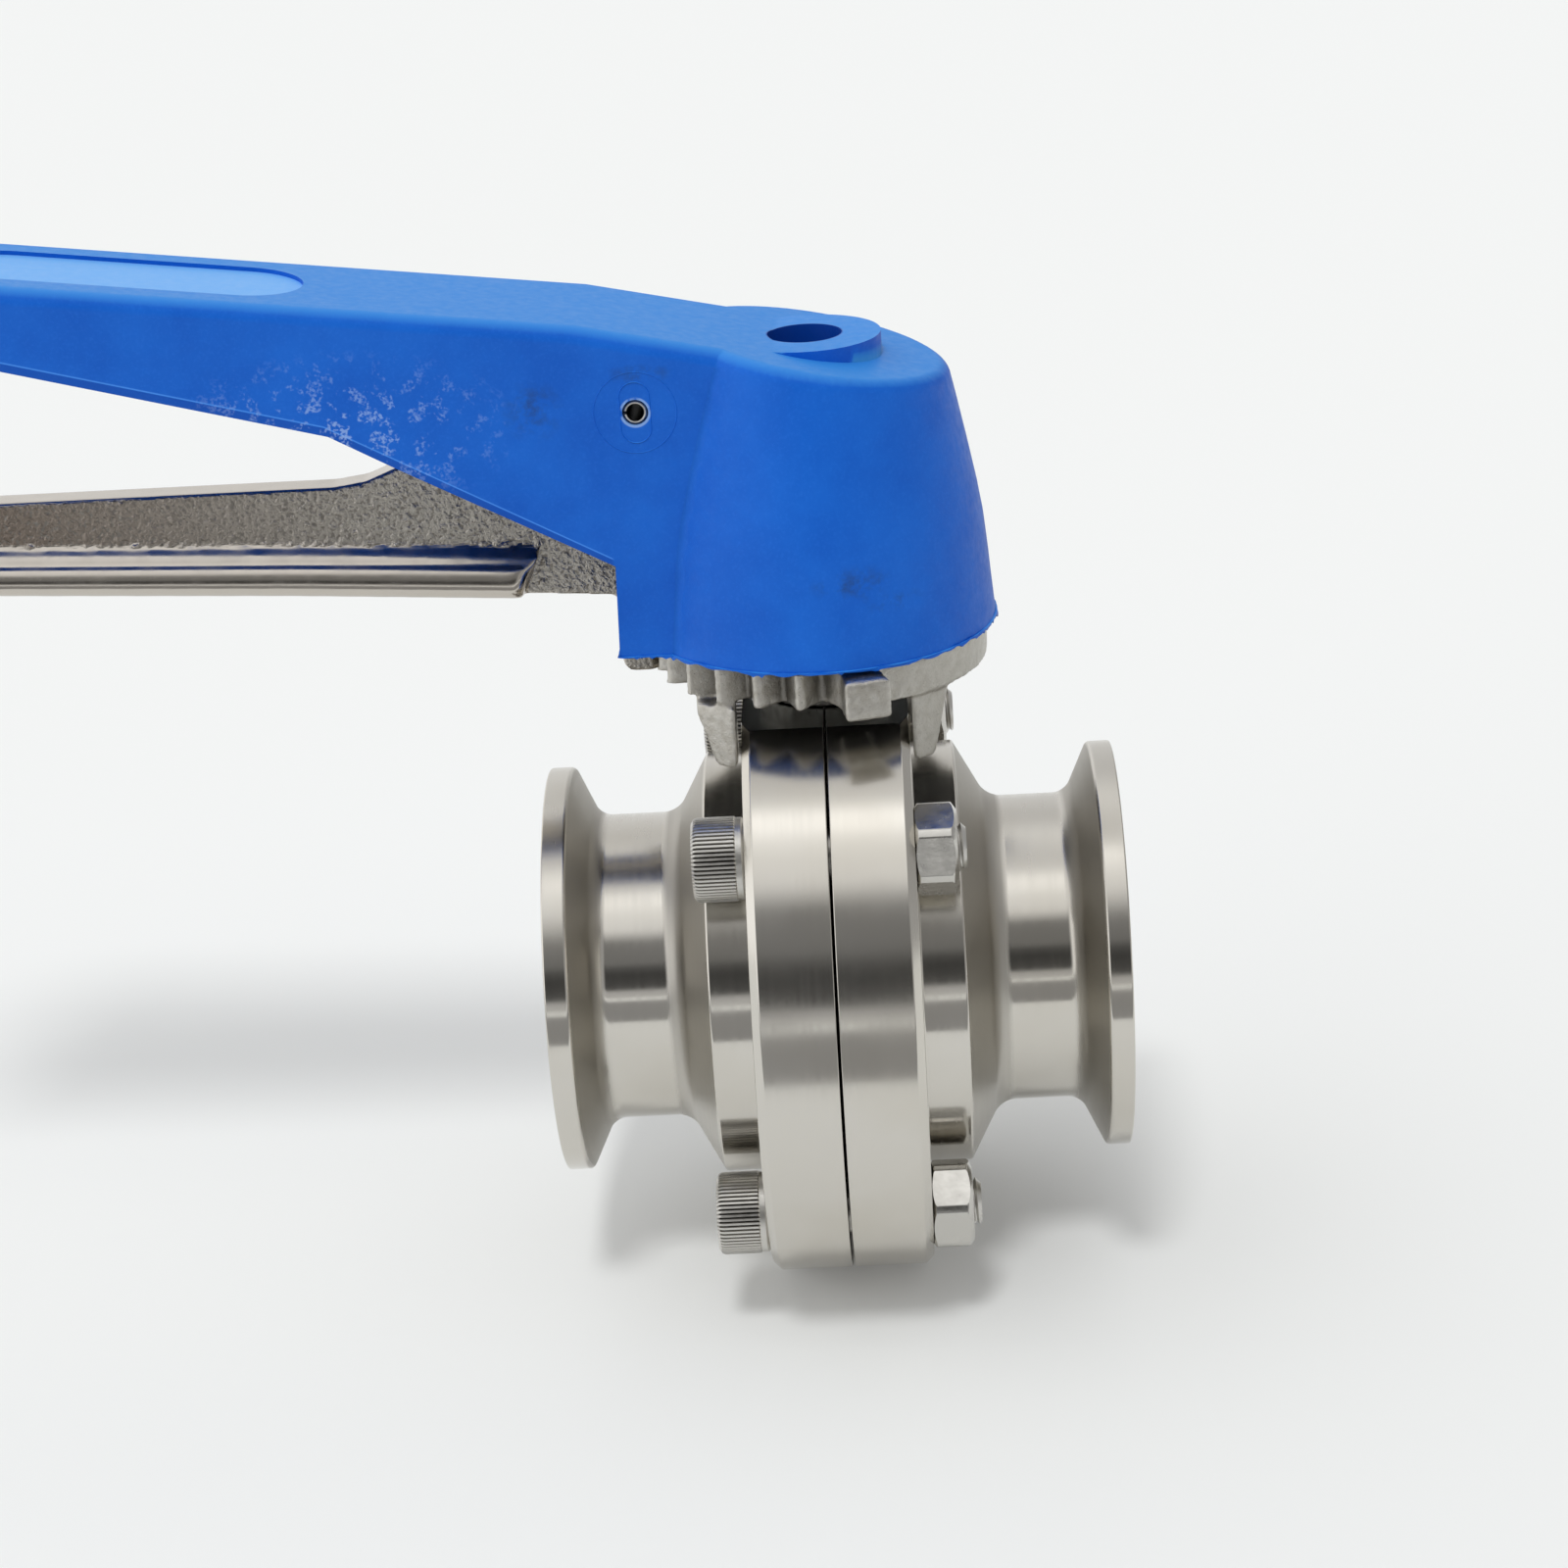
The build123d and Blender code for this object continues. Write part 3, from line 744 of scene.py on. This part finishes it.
def round_bead(v):
    """Draw a point of the bead from the square bar onto the leaning half round."""
    foot, top = height_at(v.co.x, BEAD_FOOT), height_at(v.co.x, BEAD_TOP)
    tall = top - foot
    centre = foot + BEAD_MIDDLE * tall
    out, up = abs(v.co.y) - WEB_HALF, v.co.z - centre
    rise = (1 - BEAD_MIDDLE if up > 0 else BEAD_MIDDLE) * tall
    now = ((out / BAR_OUT) ** 6 + (abs(up) / rise) ** 6) ** (1 / 6)
    for (t0, out0), (t1, out1) in zip(BEAD_SHAPE, BEAD_SHAPE[1:]):
        up0, up1 = (t0 - BEAD_MIDDLE) * tall, (t1 - BEAD_MIDDLE) * tall
        before, after = out0 * up - up0 * out, out1 * up - up1 * out
        if before >= 0 > after or after >= 0 > before:
            along = before / (before - after)
            reach = math.hypot(out0 + along * (out1 - out0), up0 + along * (up1 - up0))
            share = now * reach / math.hypot(out, up)
            v.co.y = math.copysign(WEB_HALF + out * share, v.co.y)
            v.co.z = centre + up * share
            return


def cast_lever():
    bm = cast_skin(node_copy("trigger_lever"), 0.28, 3)
    bead = [v for v in bm.verts if abs(v.co.y) > WEB_HALF and v.co.x < BEAD_END_X
            and v.co.z < height_at(v.co.x, BEAD_TOP) + 0.3]
    for v in bead:
        round_bead(v)
    soften(bm, bead, 12, False)
    bm.normal_update()
    for v in bm.verts:
        if v.co.x < -24.5 and abs(v.normal.y) > 0.8 and abs(v.co.y) < 2.35:
            p = Vector((v.co.x * 0.8, v.co.y, v.co.z))
            pebble = max(0.0, noise.noise(p * 1.9) - 0.02)
            v.co += v.normal * (pebble * 0.45 - 0.05)
    return new_piece("trigger_lever_cast", bm, "trigger", ["trigger_lever"],
                     lever_steel, 60, False)


cast_lever()


# ---------------------------------------------------------------- handle
SKIRT_Z = 45
# The beam's upper edge at its start.
BEAM_TOP_X, BEAM_TOP_Z = -26, 84


def moulded_handle():
    bm = node_copy("handle")
    bmesh.ops.dissolve_limit(bm, angle_limit=math.radians(0.6), use_dissolve_boundaries=False,
                             verts=bm.verts, edges=bm.edges)

    def on_lower_edge(v):
        beam_top = BEAM_TOP_Z + BEAM_SLOPE * (v.co.x - BEAM_TOP_X)
        return abs(v.co.y) > BEAM_HALF_WIDTH - 0.1 and v.co.x < -18 and v.co.z < beam_top - 3

    lower = [e for e in bm.edges if e.calc_length() > 4 and all(map(on_lower_edge, e.verts))]
    bevel(bm, lower, 0.85, 3, "EDGES", clamp_overlap=True)
    recess = [f for f in bm.faces
              if f.normal.z > 0.9 and f.calc_area() > 300 and f.calc_center_median().x < -60]
    label = min(recess, key=lambda f: f.verts[0].co.z - BEAM_SLOPE * f.verts[0].co.x)
    label.material_index = 1
    return new_piece("handle_moulding", bm, "handle", ["handle"],
                     (blue, label_blue), 35)


def skirt_flash():
    """The ragged lip that trimming left round the bottom of the skirt."""
    beam_y, end_x, top, wall = BEAM_HALF_WIDTH - 0.04, -23.66, SKIRT_Z + 0.12, 0.24
    start = Vector((-math.sqrt(HUB_R ** 2 - beam_y ** 2), beam_y, top))
    bm = bmesh.new()
    first = bm.verts.new(start)
    swing = FULL_TURN - 2 * math.atan2(beam_y, -start.x)
    spin(bm, [first], (0, 0, -1), 300, swing)
    ends = sorted((v for v in bm.verts if len(v.link_edges) == 1), key=lambda v: v.co.y)
    corners = [bm.verts.new((end_x, side * beam_y, top)) for side in (-1, 1)]
    straight = [bm.edges.new(pair)
                for pair in ((ends[0], corners[0]), corners, (corners[1], ends[1]))]
    bmesh.ops.subdivide_edges(bm, edges=straight, cuts=24)
    lower = bmesh.ops.extrude_edge_only(bm, edges=bm.edges[:])["geom"]
    for v in (g for g in lower if isinstance(g, bmesh.types.BMVert)):
        ragged = abs(noise.noise(v.co * 0.35)) * 0.5 + max(0.0, noise.noise(v.co * 1.3) - 0.2) * 1.2
        outward = Vector((v.co.x, v.co.y, 0)).normalized()
        v.co += outward * (noise.noise(v.co * 0.5) * 0.25)
        v.co.z = SKIRT_Z - min(0.6, ragged)
    bmesh.ops.recalc_face_normals(bm, faces=bm.faces)
    outer = bm.faces[:][0]
    if outer.normal.dot(outer.calc_center_median()) > 0:
        bmesh.ops.reverse_faces(bm, faces=bm.faces)
    bmesh.ops.solidify(bm, geom=bm.faces[:], thickness=wall)
    bmesh.ops.recalc_face_normals(bm, faces=bm.faces)
    return new_piece("skirt_flash", bm, "handle", None, blue, 50, False)


def pin_marks():
    """Moulding witness lines round the roll pin: a faint circle and an upright oval."""
    half_line = 0.13
    for name, radius, stretch, high in (("pin_witness_circle", 4.8, 0, 0.06),
                                        ("pin_witness_oval", 1.75, 1.85, 0.09)):
        bm = bmesh.new()
        verts, edges = chain(bm, [(radius - half_line, 0.05, 0), (radius, -high, 0),
                                  (radius + half_line, 0.05, 0)], closed=True)
        spin(bm, verts + edges, (0, 1, 0), 96, use_merge=True)
        for side in (-1, 1):
            bmesh.ops.translate(bm, vec=(0, 0, side * stretch),
                                verts=[v for v in bm.verts if side * v.co.z > 0.01])
        bmesh.ops.recalc_face_normals(bm, faces=bm.faces)
        bmesh.ops.translate(bm, vec=(PIN_X, -BEAM_HALF_WIDTH, PIN_Z), verts=bm.verts)
        new_piece(name, bm, "handle", None, blue, 80, False)


moulded_handle()
skirt_flash()
pin_marks()


# ---------------------------------------------------------------- roll pin
def roll_pin():
    """Slotted tube on the Y axis with chamfered ends."""
    outer, inner, half = 1.5, 1.0, 11.85
    slit = math.radians(20)
    section = ((inner, -half + 0.05), (inner + 0.12, -half), (outer - 0.28, -half),
               (outer, -half + 0.5), (outer, half - 0.5), (outer - 0.28, half),
               (inner + 0.12, half), (inner, half - 0.05))
    bm = bmesh.new()
    verts, edges = chain(bm, [(-r, y, 0) for r, y in section], closed=True)
    face = bm.faces.new(verts)
    bmesh.ops.rotate(bm, cent=(0, 0, 0), matrix=Matrix.Rotation(slit / 2, 3, "Y"), verts=bm.verts)
    spin(bm, [face] + verts + edges, (0, 1, 0), 56, FULL_TURN - slit)
    bmesh.ops.recalc_face_normals(bm, faces=bm.faces)
    bmesh.ops.translate(bm, vec=(PIN_X, 0, PIN_Z), verts=bm.verts)
    return new_piece("roll_pin", bm, "handle", ["pivot_pin"], pin_steel)


roll_pin()


# ---------------------------------------------------------------- return spring
def return_spring():
    low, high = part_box("lever_spring")
    wire, coil_r, turns, steps = 0.5, 3.0, 6, 28
    base, top = low[2] / MM + wire, high[2] / MM - wire
    bm = bmesh.new()
    bmesh.ops.create_circle(
        bm, cap_ends=False, segments=10, radius=wire,
        matrix=Matrix.Translation((coil_r, 0, 0)) @ Matrix.Rotation(math.pi / 2, 4, "X"))
    spin(bm, bm.verts[:] + bm.edges[:], (0, 0, 1), turns * steps, FULL_TURN * turns,
         dvec=(0, 0, (top - base) / (turns * steps)))
    bmesh.ops.holes_fill(bm, edges=bm.edges, sides=0)
    bmesh.ops.recalc_face_normals(bm, faces=bm.faces)
    bmesh.ops.translate(bm, vec=(-38, 0, base), verts=bm.verts)
    piece = new_piece("return_spring", bm, "handle", ["lever_spring"],
                      nut_steel, 50, False)
    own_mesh(piece)


return_spring()


# ---------------------------------------------------------------- the set
# Elevation in degrees and brightness of the room, towards the viewer and all round.
ROOM_FRONT = ((-90, 0.8), (-6, 0.6), (4, 0.55), (6, 0.09), (16, 0.06), (21, 0.1), (25, 0.22),
              (36, 0.24), (41, 0.28), (45, 0.6), (50, 0.98), (60, 1.05), (66, 1.2), (71, 1.6),
              (76, 1.6), (81, 0.92), (90, 0.7))
ROOM_ROUND = ((-90, 0.8), (0, 0.85), (20, 0.85), (45, 0.75), (58, 0.9), (63, 1.0), (75, 0.9),
              (90, 0.75))
BACKDROP = (0.895, 0.91, 0.903)
DIFFUSE_SHARE = 0.92
KEY_ELEVATION = 61


def lay_floor():
    bm = bmesh.new()
    bmesh.ops.create_circle(bm, cap_ends=True, radius=8, segments=96,
                            matrix=Matrix.Translation((0, 0, FLOOR_Z)))
    floor = put("floor", mesh_of("floor", bm))
    # Painted light: the board glows faintly, which lifts its shadows evenly.
    board = Finish("floor_board", (0.79, 0.802, 0.796), 0.0, 0.7, Emission_Color=(1, 1, 1, 1),
                   Emission_Strength=0.085, Specular_IOR_Level=0.0)
    floor.data.materials.append(board.mat)


def lay_dark_card():
    """A dark card in front, seen only in the steel."""
    place = Matrix.Translation((0, -0.456, FLOOR_Z + 0.001)) @ Matrix.Diagonal((2, 0.65, 1, 1))
    bm = bmesh.new()
    bmesh.ops.create_grid(bm, x_segments=1, y_segments=1, size=0.5, matrix=place)
    card = put("dark_card", mesh_of("dark_card", bm))
    card.data.materials.append(Finish("card", (0.3, 0.3, 0.3), 0.0, 0.9).mat)
    card.visible_camera = False
    card.visible_diffuse = False
    card.visible_shadow = False
    card.visible_transmission = False


def room_ramp(w, height, room):
    n = w.node("ValToRGB", None, i0=height)
    marks = n.color_ramp.elements
    while len(marks) < len(room):
        marks.new(0.5)
    for mark, (elevation, value) in zip(marks, room):
        mark.position = 0.5 + elevation / 180
        mark.color = (value, value, value, 1)
    return n.outputs[0]


def light_room():
    """A soft room that the steel reflects; the camera itself sees a plain backdrop."""
    world = bpy.data.worlds.new("room")
    bpy.context.scene.world = world
    world.use_nodes = True
    w = Wiring(world.node_tree, "Generated")
    x, y, z = w.parts()
    height = w.math("MULTIPLY_ADD", w.math("ARCSINE", z), 1 / math.pi, 0.5)
    level = w.math("SQRT", w.math("SUBTRACT", 1.0, w.times(z, z)))
    front = w.spread(w.math("DIVIDE", y, level), -0.95, -0.82, 1.0, 0.0)
    leftward = w.spread(w.math("DIVIDE", x, level), -0.9, 0.7, 1.5, 0.5)
    low_down = w.spread(z, 0.6, 0.9, 1.0, 0.0)
    side = w.total(w.times(w.math("SUBTRACT", leftward, 1.0), low_down), 1.0)
    around = w.node("VectorMath", {"operation": "SCALE"}, i0=room_ramp(w, height, ROOM_ROUND),
                    Scale=side).outputs[0]
    path = w.node("LightPath").outputs
    room = w.blend(front, around, room_ramp(w, height, ROOM_FRONT))
    background = w.tree.nodes["Background"].inputs
    w.feed(background["Color"], w.blend(path["Is Camera Ray"], room, BACKDROP))
    strength = w.spread(path["Is Diffuse Ray"], 0.0, 1.0, 1.0, DIFFUSE_SHARE)
    w.feed(background["Strength"], strength)


def hang_softbox():
    """The one light: broad, high in front, and left out of the reflections."""
    tilt = math.radians(KEY_ELEVATION)
    key = bpy.data.lights.new("softbox", "SUN")
    key.angle = math.radians(12)
    key.energy = 1.05
    lamp = put("softbox", key)
    aim = Vector((-0.1, -math.cos(tilt), math.sin(tilt)))
    lamp.rotation_euler = aim.to_track_quat("Z", "Y").to_euler()
    lamp.visible_glossy = False


def set_camera():
    lens = bpy.data.cameras.new("camera")
    lens.lens = 81.18
    lens.sensor_width = 36
    lens.clip_start = 0.01
    camera = put("camera", lens)
    right = Vector((0.99828141, 0.00979667, -0.05777753))
    up = Vector((0.05030528, 0.36247227, 0.93063593))
    turn = Matrix((right, up, right.cross(up))).transposed().to_4x4()
    camera.matrix_world = Matrix.Translation(Vector((7.441, -406.544, 180.986)) * MM) @ turn
    bpy.context.scene.camera = camera


lay_floor()
lay_dark_card()
light_room()
hang_softbox()
set_camera()
bpy.context.scene.view_settings.view_transform = "Standard"
